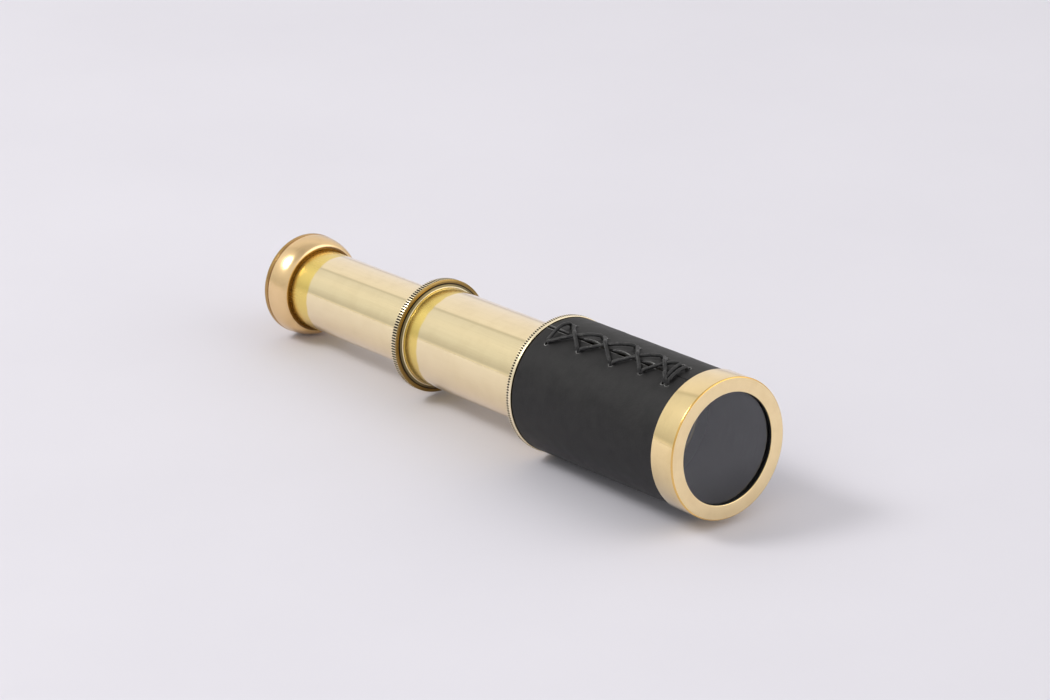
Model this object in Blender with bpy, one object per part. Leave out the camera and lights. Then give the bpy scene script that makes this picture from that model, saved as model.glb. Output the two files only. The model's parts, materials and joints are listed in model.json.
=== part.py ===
"""Two-draw brass pocket telescope, pulled out and lying on its side on a flat surface.

The telescope is turned work, so nearly every piece is a profile spun round the optical axis.
A profile is a list of (station, radius) points in millimetres. A station is the distance
behind the front face of the objective bezel, measured along the axis towards the eye.
The barrel is fixed, the large draw slides in the barrel, and the small draw in the large draw.
"""

import math

import bmesh
import bpy
from mathutils import Vector

MM = 0.001

# Faceting. Every running surface has the same number of facets, with a flat one underneath.
SEGMENTS = 40
INNER_SEGMENTS = 24
LENS_RINGS = 3

# Clearances
FIT = 0.05
SEAT_GAP = 0.1

# Objective end
BEZEL_RADIUS = 15.875
BEZEL_LENGTH = 6.84
BEZEL_EDGE = 0.5
APERTURE_RADIUS = 12.5
LIP_THICKNESS = 0.75
CELL_BORE_RADIUS = 13.65
CELL_BORE_END = 4.6
OBJECTIVE_RADIUS = 13.6
OBJECTIVE_FRONT_CURVE = 190.0
OBJECTIVE_REAR_CURVE = 70.0
OBJECTIVE_EDGE = 1.45
OBJECTIVE_RING_BORE = 12.6
OBJECTIVE_RING_FRONT = 2.7
OBJECTIVE_RING_LENGTH = 1.1

# Barrel
SLEEVE_RADIUS = 15.43
LEATHER_THICKNESS = 0.8
BARREL_WALL = 0.68
BARREL_FRONT = CELL_BORE_END + SEAT_GAP
BARREL_RADIUS = SLEEVE_RADIUS - LEATHER_THICKNESS - FIT
BARREL_BORE = BARREL_RADIUS - BARREL_WALL

# Knurled collar at the rear of the barrel
COLLAR_RADIUS = 15.65
COLLAR_FRONT = 54.02
COLLAR_REAR = 55.59
COLLAR_SPIGOT_FRONT = 51.7

# Large draw
LARGE_TUBE_RADIUS = 11.4
LARGE_TUBE_WALL = 0.6
LARGE_TUBE_FRONT = 49.5
LARGE_TUBE_BORE = LARGE_TUBE_RADIUS - LARGE_TUBE_WALL

# Knurled collar at the rear of the large draw
RING_RADIUS = 13.24
RING_FRONT = 97.35
RING_KNURL_FRONT = 98.37
RING_SOCKET_END = 98.6
RING_REAR = 99.77
RING_SPIGOT_FRONT = 95.6

# Small draw
SMALL_TUBE_RADIUS = 9.32
SMALL_TUBE_WALL = 0.6
SMALL_TUBE_FRONT = 93.3
SMALL_TUBE_REAR = 147.0
SMALL_TUBE_BORE = SMALL_TUBE_RADIUS - SMALL_TUBE_WALL

# Felt liners that grip the draws
LINER_THICKNESS = 0.7
LINER_LAND = 0.5
BORE_RELIEF = 0.2

# Eyepiece bell
CAP_FRONT = 143.29
CAP_FRONT_RADIUS = 10.13
CAP_RECESS_RADIUS = 9.95
CAP_RECESS_END = 144.5
CAP_RIM_RADIUS = 11.95
CAP_RIM_FRONT = 148.9
CAP_RIM_REAR = 149.6
CAP_REAR = 151.0
CAP_FACE_OUTER = 10.9
CAP_FACE_INNER = 9.9
CAP_DISH_FLOOR = 149.2
EYE_HOLE_RADIUS = 3.5

# Image-erecting lens pair in the front of the small draw
ERECTOR_FRONT = 93.5
ERECTOR_REAR = 113.0
ERECTOR_POCKET_DEPTH = 3.6
ERECTOR_POCKET_RADIUS = 7.7
ERECTOR_BORE = 6.8
ERECTOR_LENS_CURVE = 20.0
ERECTOR_LENS_EDGE = 1.0
APERTURE_STOP_HOLE = 1.8

# Eyepiece lens pair in the rear of the small draw
EYE_CELL_FRONT = 127.0
EYE_CELL_REAR = 146.8
EYE_POCKET_DEPTH = 4.4
EYE_POCKET_RADIUS = 8.0
EYE_CELL_BORE = 7.0
EYE_LENS_CURVE = 19.0
EYE_LENS_EDGE = 1.2
FIELD_STOP_HOLE = 4.2

# Inner rings and washers
RETAINER_LENGTH = 1.0
RETAINER_WALL = 1.0
STOP_THICKNESS = 0.6

# Lace on the leather. Its turning points are (station, degrees from the top towards the -Y side),
# from one tucked end to the other. The holes are punched by hand, so they are not quite in line.
LACE_DIAMETER = 0.8
LACE_CORNERS = (
    (11.2, 3.3),
    (10.8, 28.0),
    (19.2, 2.4),
    (28.8, 29.5),
    (38.0, 5.6),
    (49.5, 32.5),
    (48.6, 5.4),
    (39.7, 29.0),
    (28.1, 2.4),
    (19.7, 27.0),
    (13.3, 3.3),
    (12.0, 28.0),
)
LACE_GAP = 0.05
LACE_HUMP_WIDTH = 1.7
LACE_DIAGONAL = 4.0
LACE_STRAND_STEPS = 24
LACE_SMOOTHING = 6
LACE_POINT_SPACING = 1.9

# The telescope lies on the rear edge of the barrel collar and on the rim of the eyepiece bell
FLAT = math.cos(math.pi / SEGMENTS)
TILT = math.atan((COLLAR_RADIUS - CAP_RIM_RADIUS) * FLAT / (CAP_RIM_REAR - COLLAR_REAR))

COLOURS = {
    "polished_brass": ((0.86, 0.66, 0.34), 0.12, 1.0),
    "satin_brass": ((0.84, 0.68, 0.42), 0.32, 1.0),
    "blackened_brass": ((0.03, 0.03, 0.03), 0.55, 0.6),
    "leather": ((0.028, 0.028, 0.03), 0.5, 0.0),
    "lace_cord": ((0.022, 0.022, 0.023), 0.6, 0.0),
    "felt": ((0.05, 0.012, 0.012), 0.95, 0.0),
    "glass": ((0.75, 0.82, 0.84), 0.03, 0.0),
}


# ---------------------------------------------------------------- scene helpers


def clear_scene():
    for obj in list(bpy.data.objects):
        bpy.data.objects.remove(obj, do_unlink=True)


def make_materials():
    materials = {}
    for name, (colour, roughness, metallic) in COLOURS.items():
        material = bpy.data.materials.new(name)
        material.use_nodes = True
        shader = material.node_tree.nodes["Principled BSDF"]
        shader.inputs["Base Color"].default_value = (*colour, 1.0)
        shader.inputs["Roughness"].default_value = roughness
        shader.inputs["Metallic"].default_value = metallic
        material.diffuse_color = (*colour, 1.0)
        materials[name] = material
    return materials


def make_body(name, station, parent=None):
    """An empty on the optical axis at the given station. It carries the pieces of one moving body."""
    empty = bpy.data.objects.new(name, None)
    bpy.context.scene.collection.objects.link(empty)
    empty["station"] = station
    if parent:
        empty.parent = parent
        empty.location.x = (parent["station"] - station) * MM
    return empty


def place(obj, body, station):
    """Put an object's origin on the axis of a body, at the given station."""
    bpy.context.scene.collection.objects.link(obj)
    obj.parent = body
    obj.location.x = (body["station"] - station) * MM


# ---------------------------------------------------------------- turned pieces


def turned(name, body, material, profile, segments=SEGMENTS):
    """Spin a profile round the axis. A profile that starts and ends on the axis is a solid disc."""
    origin_station = min(station for station, _ in profile)
    bm = bmesh.new()
    half_facet = math.pi / segments
    verts = []
    for station, radius in profile:
        along = (origin_station - station) * MM
        across = Vector((0.0, math.sin(half_facet), -math.cos(half_facet))) * radius * MM
        verts.append(bm.verts.new((along, across.y, across.z)))
    edges = [bm.edges.new(pair) for pair in zip(verts, verts[1:])]
    if profile[0][1] > 0.0:
        edges.append(bm.edges.new((verts[-1], verts[0])))
    bmesh.ops.spin(
        bm,
        geom=verts + edges,
        cent=(0.0, 0.0, 0.0),
        axis=(1.0, 0.0, 0.0),
        angle=math.tau,
        steps=segments,
        use_merge=True,
    )
    bmesh.ops.remove_doubles(bm, verts=bm.verts, dist=1e-6)
    bmesh.ops.recalc_face_normals(bm, faces=bm.faces)
    mesh = bpy.data.meshes.new(name)
    bm.to_mesh(mesh)
    bm.free()
    mesh.materials.append(material)
    mesh.shade_smooth()
    mesh.set_sharp_from_angle(angle=math.radians(30.0))
    obj = bpy.data.objects.new(name, mesh)
    place(obj, body, origin_station)
    return obj


def ring_profile(front, rear, inner, outer):
    return [(front, inner), (front, outer), (rear, outer), (rear, inner)]


def sag(curve, radius):
    """Depth of a spherical surface of the given curve at the given distance from the axis."""
    return curve - math.sqrt(curve * curve - radius * radius)


def lens_profile(front_edge, edge_thickness, radius, front_curve, rear_curve):
    """A convex lens: front_edge is the station of its front surface at the rim."""
    steps = [radius * ring / LENS_RINGS for ring in range(LENS_RINGS + 1)]
    rear_edge = front_edge + edge_thickness
    front_depth = sag(front_curve, radius)
    rear_depth = sag(rear_curve, radius)
    front = [(front_edge - front_depth + sag(front_curve, r), r) for r in steps]
    rear = [(rear_edge + rear_depth - sag(rear_curve, r), r) for r in reversed(steps)]
    return front + rear


# ---------------------------------------------------------------- barrel


def make_objective(barrel, materials):
    turned("objective_bezel", barrel, materials["satin_brass"], [
        (0.0, APERTURE_RADIUS),
        (0.0, BEZEL_RADIUS - BEZEL_EDGE),
        (BEZEL_EDGE, BEZEL_RADIUS),
        (BEZEL_LENGTH, BEZEL_RADIUS),
        (BEZEL_LENGTH, BARREL_RADIUS + FIT),
        (CELL_BORE_END, BARREL_RADIUS + FIT),
        (CELL_BORE_END, CELL_BORE_RADIUS),
        (LIP_THICKNESS, CELL_BORE_RADIUS),
        (LIP_THICKNESS, APERTURE_RADIUS),
    ])
    seat = LIP_THICKNESS + SEAT_GAP + sag(OBJECTIVE_FRONT_CURVE, OBJECTIVE_RADIUS)
    seat -= sag(OBJECTIVE_FRONT_CURVE, APERTURE_RADIUS)
    turned("objective_lens", barrel, materials["glass"], lens_profile(
        seat, OBJECTIVE_EDGE, OBJECTIVE_RADIUS, OBJECTIVE_FRONT_CURVE, OBJECTIVE_REAR_CURVE
    ), INNER_SEGMENTS)
    turned("objective_retaining_ring", barrel, materials["blackened_brass"], ring_profile(
        OBJECTIVE_RING_FRONT,
        OBJECTIVE_RING_FRONT + OBJECTIVE_RING_LENGTH,
        OBJECTIVE_RING_BORE,
        CELL_BORE_RADIUS - FIT,
    ))


def make_barrel(barrel, materials):
    turned("barrel_tube", barrel, materials["polished_brass"], ring_profile(
        BARREL_FRONT, COLLAR_FRONT - SEAT_GAP, BARREL_BORE, BARREL_RADIUS
    ))
    turned("leather_sleeve", barrel, materials["leather"], ring_profile(
        BEZEL_LENGTH + SEAT_GAP,
        COLLAR_FRONT - SEAT_GAP,
        SLEEVE_RADIUS - LEATHER_THICKNESS,
        SLEEVE_RADIUS,
    ))
    bore = LARGE_TUBE_RADIUS + BORE_RELIEF
    groove = LARGE_TUBE_RADIUS + FIT + LINER_THICKNESS + FIT
    groove_front = COLLAR_SPIGOT_FRONT + LINER_LAND
    groove_rear = COLLAR_REAR - LINER_LAND
    turned("barrel_collar", barrel, materials["satin_brass"], [
        (COLLAR_SPIGOT_FRONT, bore),
        (COLLAR_SPIGOT_FRONT, BARREL_BORE - FIT),
        (COLLAR_FRONT, BARREL_BORE - FIT),
        (COLLAR_FRONT, COLLAR_RADIUS),
        (COLLAR_REAR, COLLAR_RADIUS),
        (COLLAR_REAR, bore),
        (groove_rear, bore),
        (groove_rear, groove),
        (groove_front, groove),
        (groove_front, bore),
    ])
    turned("barrel_draw_liner", barrel, materials["felt"], ring_profile(
        groove_front + FIT, groove_rear - FIT, LARGE_TUBE_RADIUS + FIT, groove - FIT
    ))


# ---------------------------------------------------------------- lace


def crossing(strand, other):
    """Share of a strand's length where another strand crosses it, or None."""
    (s0, a0), (s1, a1) = strand
    (s2, a2), (s3, a3) = other
    slant = (s1 - s0) * (a3 - a2) - (a1 - a0) * (s3 - s2)
    if abs(slant) < 1e-9:
        return None
    share = ((s2 - s0) * (a3 - a2) - (a2 - a0) * (s3 - s2)) / slant
    other_share = ((s2 - s0) * (a1 - a0) - (a2 - a0) * (s1 - s0)) / slant
    inside = 0.1 < share < 0.9 and 0.1 < other_share < 0.9
    return share if inside else None


def lace_route():
    """Dense (station, angle, height) points, with a hump where one strand goes over another."""
    corners = [(station, math.radians(degrees)) for station, degrees in LACE_CORNERS]
    strands = list(zip(corners, corners[1:]))
    points = []
    for strand in strands:
        (s0, a0), (s1, a1) = strand
        length = math.hypot(s1 - s0, (a1 - a0) * SLEEVE_RADIUS)
        front_angle, rear_angle = (a0, a1) if s0 < s1 else (a1, a0)
        goes_over = abs(s1 - s0) > LACE_DIAGONAL and front_angle > rear_angle
        crossed = [crossing(strand, other) for other in strands] if goes_over else []
        tops = [share for share in crossed if share is not None]
        for step in range(LACE_STRAND_STEPS):
            t = step / LACE_STRAND_STEPS
            humps = [math.exp(-((t - top) * length / LACE_HUMP_WIDTH) ** 2) for top in tops]
            height = max(humps, default=0.0) * (LACE_DIAMETER + 2.0 * LACE_GAP)
            points.append((s0 + (s1 - s0) * t, a0 + (a1 - a0) * t, height))
    points.append((*corners[-1], 0.0))
    return points


def lace_points(origin_station):
    """The lace's centre line on the sleeve, smoothed at its corners and evenly spaced."""
    base = SLEEVE_RADIUS + LACE_GAP + LACE_DIAMETER / 2.0
    line = []
    for station, angle, height in lace_route():
        radius = base + height
        line.append(Vector((origin_station - station, -radius * math.sin(angle), radius * math.cos(angle))))
    for _ in range(LACE_SMOOTHING):
        inner = [(a + b * 2.0 + c) / 4.0 for a, b, c in zip(line, line[1:], line[2:])]
        line = [line[0]] + inner + [line[-1]]
    for index, point in enumerate(line):
        radius = math.hypot(point.y, point.z)
        scale = max(radius, base) / radius
        line[index] = Vector((point.x, point.y * scale, point.z * scale))
    length = sum((b - a).length for a, b in zip(line, line[1:]))
    count = round(length / LACE_POINT_SPACING)
    spacing = length / count
    spaced = [line[0]]
    travelled = 0.0
    for a, b in zip(line, line[1:]):
        step = (b - a).length
        while travelled + step >= spacing * len(spaced) and len(spaced) < count:
            spaced.append(a.lerp(b, (spacing * len(spaced) - travelled) / step))
        travelled += step
    spaced.append(line[-1])
    return spaced


def make_lace(barrel, materials):
    origin_station = LACE_CORNERS[0][0]
    points = lace_points(origin_station)
    curve = bpy.data.curves.new("leather_lace", "CURVE")
    curve.dimensions = "3D"
    curve.bevel_depth = LACE_DIAMETER / 2.0 * MM
    curve.bevel_resolution = 2
    curve.use_fill_caps = True
    spline = curve.splines.new("POLY")
    spline.points.add(len(points) - 1)
    for spline_point, point in zip(spline.points, points):
        spline_point.co = (*(point * MM), 1.0)
    curve.materials.append(materials["lace_cord"])
    obj = bpy.data.objects.new("leather_lace", curve)
    place(obj, barrel, origin_station)


# ---------------------------------------------------------------- large draw


def make_large_draw(draw, materials):
    turned("large_draw_tube", draw, materials["polished_brass"], ring_profile(
        LARGE_TUBE_FRONT, RING_SOCKET_END - SEAT_GAP, LARGE_TUBE_BORE, LARGE_TUBE_RADIUS
    ))
    turned("large_draw_stop_ring", draw, materials["blackened_brass"], ring_profile(
        LARGE_TUBE_FRONT, COLLAR_SPIGOT_FRONT - SEAT_GAP, LARGE_TUBE_RADIUS + FIT, BARREL_BORE - FIT
    ))
    bore = SMALL_TUBE_RADIUS + BORE_RELIEF
    groove = SMALL_TUBE_RADIUS + FIT + LINER_THICKNESS + FIT
    groove_front = RING_SPIGOT_FRONT + LINER_LAND
    groove_rear = RING_REAR - LINER_LAND
    step = (RING_RADIUS - LARGE_TUBE_RADIUS) / 2.0
    turned("large_draw_collar", draw, materials["satin_brass"], [
        (RING_FRONT, LARGE_TUBE_RADIUS + FIT),
        (RING_FRONT + FIT, LARGE_TUBE_RADIUS + step / 2.0),
        ((RING_FRONT + RING_KNURL_FRONT) / 2.0, LARGE_TUBE_RADIUS + step),
        (RING_KNURL_FRONT, RING_RADIUS),
        (RING_REAR, RING_RADIUS),
        (RING_REAR, bore),
        (groove_rear, bore),
        (groove_rear, groove),
        (groove_front, groove),
        (groove_front, bore),
        (RING_SPIGOT_FRONT, bore),
        (RING_SPIGOT_FRONT, LARGE_TUBE_BORE - FIT),
        (RING_SOCKET_END, LARGE_TUBE_BORE - FIT),
        (RING_SOCKET_END, LARGE_TUBE_RADIUS + FIT),
    ])
    turned("large_draw_liner", draw, materials["felt"], ring_profile(
        groove_front + FIT, groove_rear - FIT, SMALL_TUBE_RADIUS + FIT, groove - FIT
    ))


# ---------------------------------------------------------------- small draw


def make_small_draw(draw, materials):
    turned("small_draw_tube", draw, materials["polished_brass"], ring_profile(
        SMALL_TUBE_FRONT, SMALL_TUBE_REAR, SMALL_TUBE_BORE, SMALL_TUBE_RADIUS
    ))
    turned("small_draw_stop_ring", draw, materials["blackened_brass"], ring_profile(
        SMALL_TUBE_FRONT, RING_SPIGOT_FRONT - SEAT_GAP, SMALL_TUBE_RADIUS + FIT, LARGE_TUBE_BORE - FIT
    ))


def make_cell(name, draw, materials, front, rear, pocket_depth, pocket_radius, bore):
    """A tube that fills the draw's bore, with a lens pocket in each end."""
    outer = SMALL_TUBE_BORE - FIT
    turned(name, draw, materials["blackened_brass"], [
        (front, pocket_radius),
        (front, outer),
        (rear, outer),
        (rear, pocket_radius),
        (rear - pocket_depth, pocket_radius),
        (rear - pocket_depth, bore),
        (front + pocket_depth, bore),
        (front + pocket_depth, pocket_radius),
    ])


def make_washer(name, draw, materials, station, hole, outer):
    turned(name, draw, materials["blackened_brass"], ring_profile(
        station, station + STOP_THICKNESS, hole, outer
    ), INNER_SEGMENTS)


def make_retainer(name, draw, materials, front, pocket_radius):
    outer = pocket_radius - SEAT_GAP
    turned(name, draw, materials["blackened_brass"], ring_profile(
        front, front + RETAINER_LENGTH, outer - RETAINER_WALL, outer
    ), INNER_SEGMENTS)


def make_lens_pair(names, draw, materials, cell, edge, curve, front_retainer, rear_retainer):
    """Two convex lenses seated against the floors of a cell's pockets, each behind a ring."""
    front, rear, pocket_depth, pocket_radius, bore = cell
    radius = pocket_radius - SEAT_GAP
    seat_depth = sag(curve, radius) - sag(curve, bore)
    front_lens = front + pocket_depth - SEAT_GAP - seat_depth - edge
    rear_lens = rear - pocket_depth + SEAT_GAP + seat_depth
    turned(names[0], draw, materials["glass"], lens_profile(
        front_lens, edge, radius, curve, curve
    ), INNER_SEGMENTS)
    turned(names[1], draw, materials["glass"], lens_profile(
        rear_lens, edge, radius, curve, curve
    ), INNER_SEGMENTS)
    ring_sag = sag(curve, radius) - sag(curve, radius - RETAINER_WALL)
    front_ring = front_lens - ring_sag - SEAT_GAP - RETAINER_LENGTH
    rear_ring = rear_lens + edge + ring_sag + SEAT_GAP
    make_retainer(front_retainer, draw, materials, front_ring, pocket_radius)
    make_retainer(rear_retainer, draw, materials, rear_ring, pocket_radius)


def make_erector(draw, materials):
    make_cell(
        "erector_cell", draw, materials, ERECTOR_FRONT, ERECTOR_REAR,
        ERECTOR_POCKET_DEPTH, ERECTOR_POCKET_RADIUS, ERECTOR_BORE,
    )
    make_lens_pair(
        ("erector_front_lens", "erector_rear_lens"), draw, materials,
        (ERECTOR_FRONT, ERECTOR_REAR, ERECTOR_POCKET_DEPTH, ERECTOR_POCKET_RADIUS, ERECTOR_BORE),
        ERECTOR_LENS_EDGE, ERECTOR_LENS_CURVE,
        "erector_front_retainer", "erector_rear_retainer",
    )
    middle = (ERECTOR_FRONT + ERECTOR_REAR - STOP_THICKNESS) / 2.0
    make_washer("aperture_stop", draw, materials, middle, APERTURE_STOP_HOLE, ERECTOR_BORE - SEAT_GAP)


def make_eyepiece(draw, materials):
    make_cell(
        "eyepiece_cell", draw, materials, EYE_CELL_FRONT, EYE_CELL_REAR,
        EYE_POCKET_DEPTH, EYE_POCKET_RADIUS, EYE_CELL_BORE,
    )
    make_lens_pair(
        ("field_lens", "eye_lens"), draw, materials,
        (EYE_CELL_FRONT, EYE_CELL_REAR, EYE_POCKET_DEPTH, EYE_POCKET_RADIUS, EYE_CELL_BORE),
        EYE_LENS_EDGE, EYE_LENS_CURVE,
        "field_lens_retainer", "eye_lens_retainer",
    )
    middle = (EYE_CELL_FRONT + EYE_CELL_REAR - STOP_THICKNESS) / 2.0
    make_washer("field_stop", draw, materials, middle, FIELD_STOP_HOLE, EYE_CELL_BORE - SEAT_GAP)


def bell_curve(steps):
    """Outside of the bell from its front edge to its rim: a quarter ellipse, steep at the front."""
    points = []
    for step in range(steps):
        turn = math.pi / 2.0 * step / steps
        station = CAP_RIM_FRONT - (CAP_RIM_FRONT - CAP_FRONT) * math.cos(turn)
        radius = CAP_FRONT_RADIUS + (CAP_RIM_RADIUS - CAP_FRONT_RADIUS) * math.sin(turn)
        points.append((station, radius))
    return points


def make_cap(draw, materials):
    socket = SMALL_TUBE_RADIUS + FIT
    turned("eyepiece_cap", draw, materials["satin_brass"], bell_curve(3) + [
        (CAP_RIM_FRONT, CAP_RIM_RADIUS),
        (CAP_RIM_REAR, CAP_RIM_RADIUS),
        (CAP_REAR, CAP_FACE_OUTER),
        (CAP_REAR, CAP_FACE_INNER),
        (CAP_DISH_FLOOR, EYE_HOLE_RADIUS),
        (SMALL_TUBE_REAR + SEAT_GAP, EYE_HOLE_RADIUS),
        (SMALL_TUBE_REAR + SEAT_GAP, socket),
        (CAP_RECESS_END, socket),
        (CAP_RECESS_END, CAP_RECESS_RADIUS),
        (CAP_FRONT, CAP_RECESS_RADIUS),
    ])


# ---------------------------------------------------------------- assembly


def world_box():
    """Lowest and highest corners of all the pieces, in the world."""
    depsgraph = bpy.context.evaluated_depsgraph_get()
    depsgraph.update()
    corners = []
    for obj in bpy.data.objects:
        if obj.type == "EMPTY":
            continue
        evaluated = obj.evaluated_get(depsgraph)
        mesh = evaluated.to_mesh()
        corners += [evaluated.matrix_world @ vertex.co for vertex in mesh.vertices]
        evaluated.to_mesh_clear()
    low = Vector([min(corner[axis] for corner in corners) for axis in range(3)])
    high = Vector([max(corner[axis] for corner in corners) for axis in range(3)])
    return low, high


def lay_down(telescope):
    """Tilt the telescope onto its two resting rims, with the world origin under its middle."""
    telescope.rotation_euler.y = -TILT
    bpy.context.view_layer.update()
    low, high = world_box()
    telescope.location.x = -(low.x + high.x) / 2.0
    telescope.location.y = -(low.y + high.y) / 2.0
    telescope.location.z = -low.z
    bpy.context.view_layer.update()


def main():
    clear_scene()
    materials = make_materials()
    barrel = make_body("telescope", 0.0)
    large_draw = make_body("large_draw", LARGE_TUBE_FRONT, barrel)
    small_draw = make_body("small_draw", SMALL_TUBE_FRONT, large_draw)
    make_objective(barrel, materials)
    make_barrel(barrel, materials)
    make_lace(barrel, materials)
    make_large_draw(large_draw, materials)
    make_small_draw(small_draw, materials)
    make_erector(small_draw, materials)
    make_eyepiece(small_draw, materials)
    make_cap(small_draw, materials)
    lay_down(barrel)


main()
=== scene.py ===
"""Two-draw brass pocket telescope: the fine surfaces, materials, lights and camera.

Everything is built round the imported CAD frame. Nearly every piece is turned, so its outline is
a list of (station, radius) points in millimetres, where a station is the distance behind the
objective's front face along the optical axis. Angles round the axis are measured from the top
of the barrel towards the -Y side, where the leather is laced. The floor, the lights and the
camera's distance are in metres.
"""

import json
import math
from collections import defaultdict

import bmesh
import bpy
from mathutils import Matrix, Vector, noise


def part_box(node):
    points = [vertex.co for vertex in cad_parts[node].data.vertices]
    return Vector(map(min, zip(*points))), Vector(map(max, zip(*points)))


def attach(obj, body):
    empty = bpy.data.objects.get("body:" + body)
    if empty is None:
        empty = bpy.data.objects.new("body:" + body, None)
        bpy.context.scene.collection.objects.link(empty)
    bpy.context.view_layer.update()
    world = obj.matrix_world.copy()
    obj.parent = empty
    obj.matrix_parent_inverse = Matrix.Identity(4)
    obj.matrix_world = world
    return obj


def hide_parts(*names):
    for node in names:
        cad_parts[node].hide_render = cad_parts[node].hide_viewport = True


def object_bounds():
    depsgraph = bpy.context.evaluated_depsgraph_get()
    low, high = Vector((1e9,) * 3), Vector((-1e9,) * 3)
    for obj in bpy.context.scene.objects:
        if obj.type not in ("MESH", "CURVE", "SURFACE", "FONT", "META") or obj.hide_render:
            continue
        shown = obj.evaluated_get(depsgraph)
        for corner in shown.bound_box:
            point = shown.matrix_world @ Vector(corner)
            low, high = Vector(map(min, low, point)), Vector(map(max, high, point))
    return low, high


MM = 0.001

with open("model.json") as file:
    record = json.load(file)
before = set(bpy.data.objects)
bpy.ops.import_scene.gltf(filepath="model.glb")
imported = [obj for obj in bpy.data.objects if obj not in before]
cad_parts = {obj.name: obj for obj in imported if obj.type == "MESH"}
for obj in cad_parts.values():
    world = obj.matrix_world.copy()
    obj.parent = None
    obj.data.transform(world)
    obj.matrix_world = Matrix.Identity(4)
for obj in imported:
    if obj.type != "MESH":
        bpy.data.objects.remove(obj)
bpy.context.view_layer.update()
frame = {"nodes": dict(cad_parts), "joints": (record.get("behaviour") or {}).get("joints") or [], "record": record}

# Turned surfaces
OUTER_SEGMENTS = 288
INNER_SEGMENTS = 96
ARC_STEPS = 6
LENS_ARC_STEPS = 20
WIDEST_CORNER = math.radians(85.0)
SHARP_ANGLE = math.radians(32.0)
SAME_TURN = 0.01
WELD = 0.02

# Fillets of turned corners
GROOVE_FILLET = 0.03
CRISP_FILLET = 0.05
EASED_FILLET = 0.06
SMALL_FILLET = 0.08
SPIGOT_FILLET = 0.10
TUBE_FILLET = 0.12
BORE_FILLET = 0.14

# Outward turn of a face below which it looks towards the axis
LOOKS_INWARD = -0.5

# Bezel
BEZEL_FILLET = 0.34
BEZEL_LIP_FILLET = 0.18
BEZEL_REAR_FILLET = 0.22
LIP_BACK_FILLET = 0.04
BEZEL_LIP_DEPTH = 0.2
BEZEL_BORE_TURN = -0.7
FACE_DEPTH = 0.02

# Straight knurls: samples across one tooth, as a share of the cut's depth
TOOTH = (0.0, 0.0, 0.0, 0.0, 0.8, 1.0, 1.0, 0.8)
KNURL_DEPTH = 0.34
# cuts deeper than this below the crest get painted shade
KNURL_SHADE_DEPTH = 0.10
KNURL_FOOT = 0.5
KNURL_CHAMFER = 0.14
KNURL_LEAD = 0.04
LAND_DROP = 0.03
# depth below the outer radius that gets the paler rim brass, a painted highlight
PAINTED_HIGHLIGHT_DEPTH = 0.3
BARREL_KNURL_WIDTH = 0.95
DRAW_KNURL_WIDTH = 1.62
BARREL_REAR_FACE = 0.55
DRAW_REAR_FACE = 0.60
BARREL_TEETH = 160
DRAW_TEETH = 131

# Large draw's collar: a bead at the tube, a cone, a slot and a rounded bevel up to the knurl.
# Distances are behind the socket's mouth, and heights are above the socket.
BEAD_HEIGHT = 0.18
BEAD_END = 0.12
CONE_START = 0.14
CONE_FOOT = 0.28
CONE_TOP = 0.78
SLOT_FRONT = 0.42
SLOT_REAR = 0.54
SLOT_FLOOR = 0.56
SLOT_SLANT = 0.02
BEVEL_FOOT = 1.00
BEVEL_DROP = 0.42
BEVEL_SLANT = 0.07
BEVEL_FILLET = 0.30
CREST_FILLET = 0.16

# Eyepiece bell
CAP_RIM_SETBACK = 0.45
CAP_LIP = 0.30
BELL_STEPS = 28
BELL_DROP = 0.08
CAP_GROOVE_FRONT = 0.03
CAP_GROOVE_REAR = 0.19
CAP_GROOVE_DEPTH = 0.30
CAP_GROOVE_FILLET = 0.07
CAP_RIM_DROP = 0.02
CAP_RIM_PAST = 0.20
CAP_RIM_FILLET = 0.90
CAP_FACE_FILLET = 0.35
CAP_DISH_FILLET = 0.25
CAP_HOLE_FILLET = 0.30
CAP_SNUG_GAP = 0.04
CAP_SNUG_REAR = 1.2
CAP_SNUG_FRONT = 0.40
CAP_LIP_WIDTH = 0.32
RECESS_DEPTH = 2.0

# Painted reflection at the rear end of each draw: a deeper yellow band standing in for the collar or cap mirrored
# in the tube
LARGE_BAND = 4.6
SMALL_BAND = 6.3
BAND_WOBBLE = 0.45
BAND_FADE = 0.35
NO_BAND = 1000.0

# Leather sleeve
SEAM_ANGLE = math.radians(16.5)
SEAM_HALF_GAP = 0.13
SEAM_SPREAD = 0.26
SEAM_REACH = 2.0
SEAM_CLOSED = 0.15
FULL_OPENING = 8.0
LOOSE_END = 0.35
LOOSE_REACH = 3.0
STANDS_OPEN = 0.25
EDGE_ROLL = 0.18
EDGE_ROLL_SHARE = 0.8
LIFTED_ROLL = 0.42
UPPER_CURL = 0.62
LOWER_CURL = 0.34
CURL_REACH = 1.25
FRONT_ROLL = 0.22
REAR_ROLL = 0.42
RIPPLE = 0.035
HOLE_RADIUS = 0.52
HOLE_REACH = 3.0
HOLE_LIP = 0.17
HOLE_LIP_WIDTH = 0.40
HOLE_LIP_OFFSET = 0.12
HOLE_UNEVEN = 0.9
HOLE_DIMPLE = 0.10
HOLE_DIMPLE_WIDTH = 1.3
HOLE_PULL = (0.80, 1.18)
HOLE_OPEN = 0.90
# width of the paler band along cut edges and holes: real wear and a painted highlight
WORN_AND_GLINT_EDGE = 0.20
FINE_CELL = 0.13
FINE_REACH = 0.95
COARSE_CELL = 0.58
COARSE_ANGLE = math.radians(2.0)

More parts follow.
